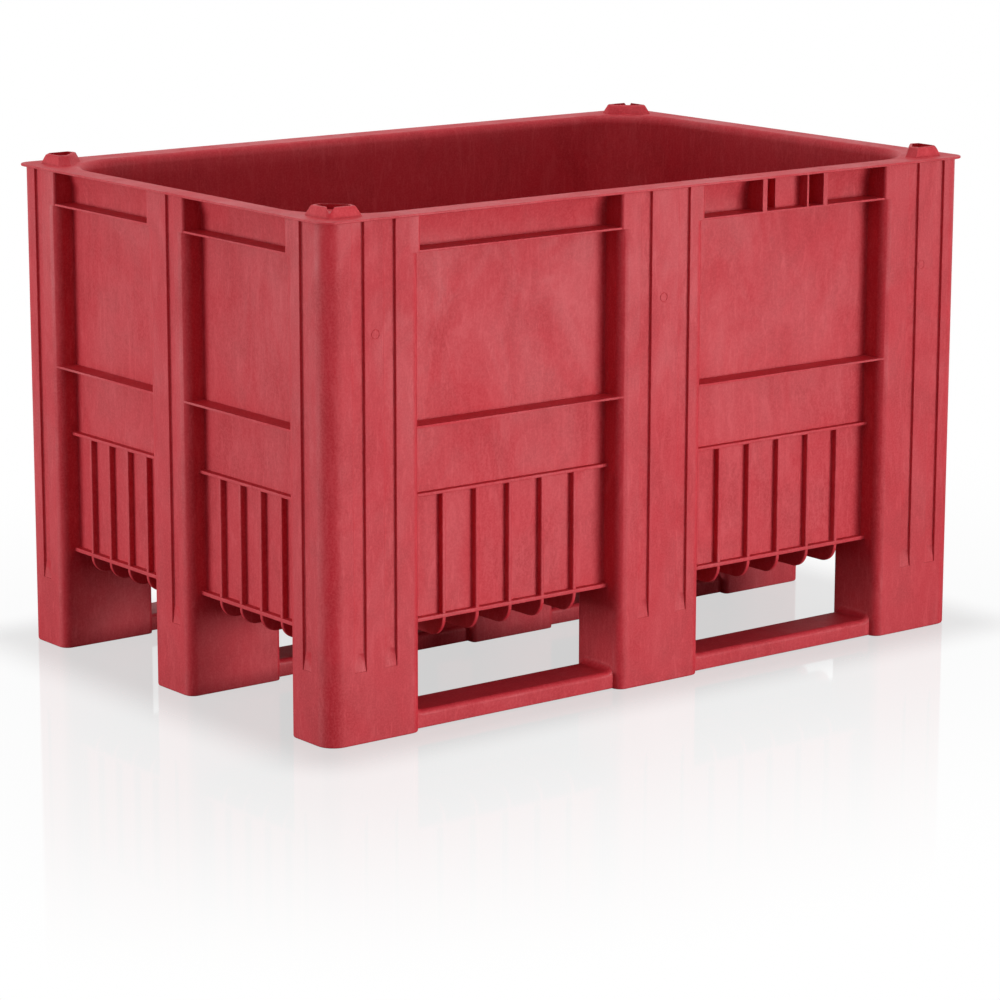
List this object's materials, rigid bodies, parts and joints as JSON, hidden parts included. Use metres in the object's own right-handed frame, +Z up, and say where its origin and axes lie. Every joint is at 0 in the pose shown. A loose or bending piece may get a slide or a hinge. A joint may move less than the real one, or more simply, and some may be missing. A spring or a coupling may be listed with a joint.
{
  "type": "pallet box",
  "caption": "Open plastic pallet box: ribbed rectangular tub moulded in one piece with hollow corner and middle posts, raised feet and flat runner bars for forks from all sides.",
  "frame": {"origin": "on the floor, under the middle of the box", "axes": "+X along the long sides, +Y along the short sides, +Z up"},
  "size_m": [1.21, 0.81, 0.755],
  "materials": {
    "moulded_plastic": "dull red moulded polyethylene with faint flow streaks and a soft sheen"
  },
  "bodies": {
    "root": {"pallet_box": "moulded_plastic"}
  },
  "joints": []
}
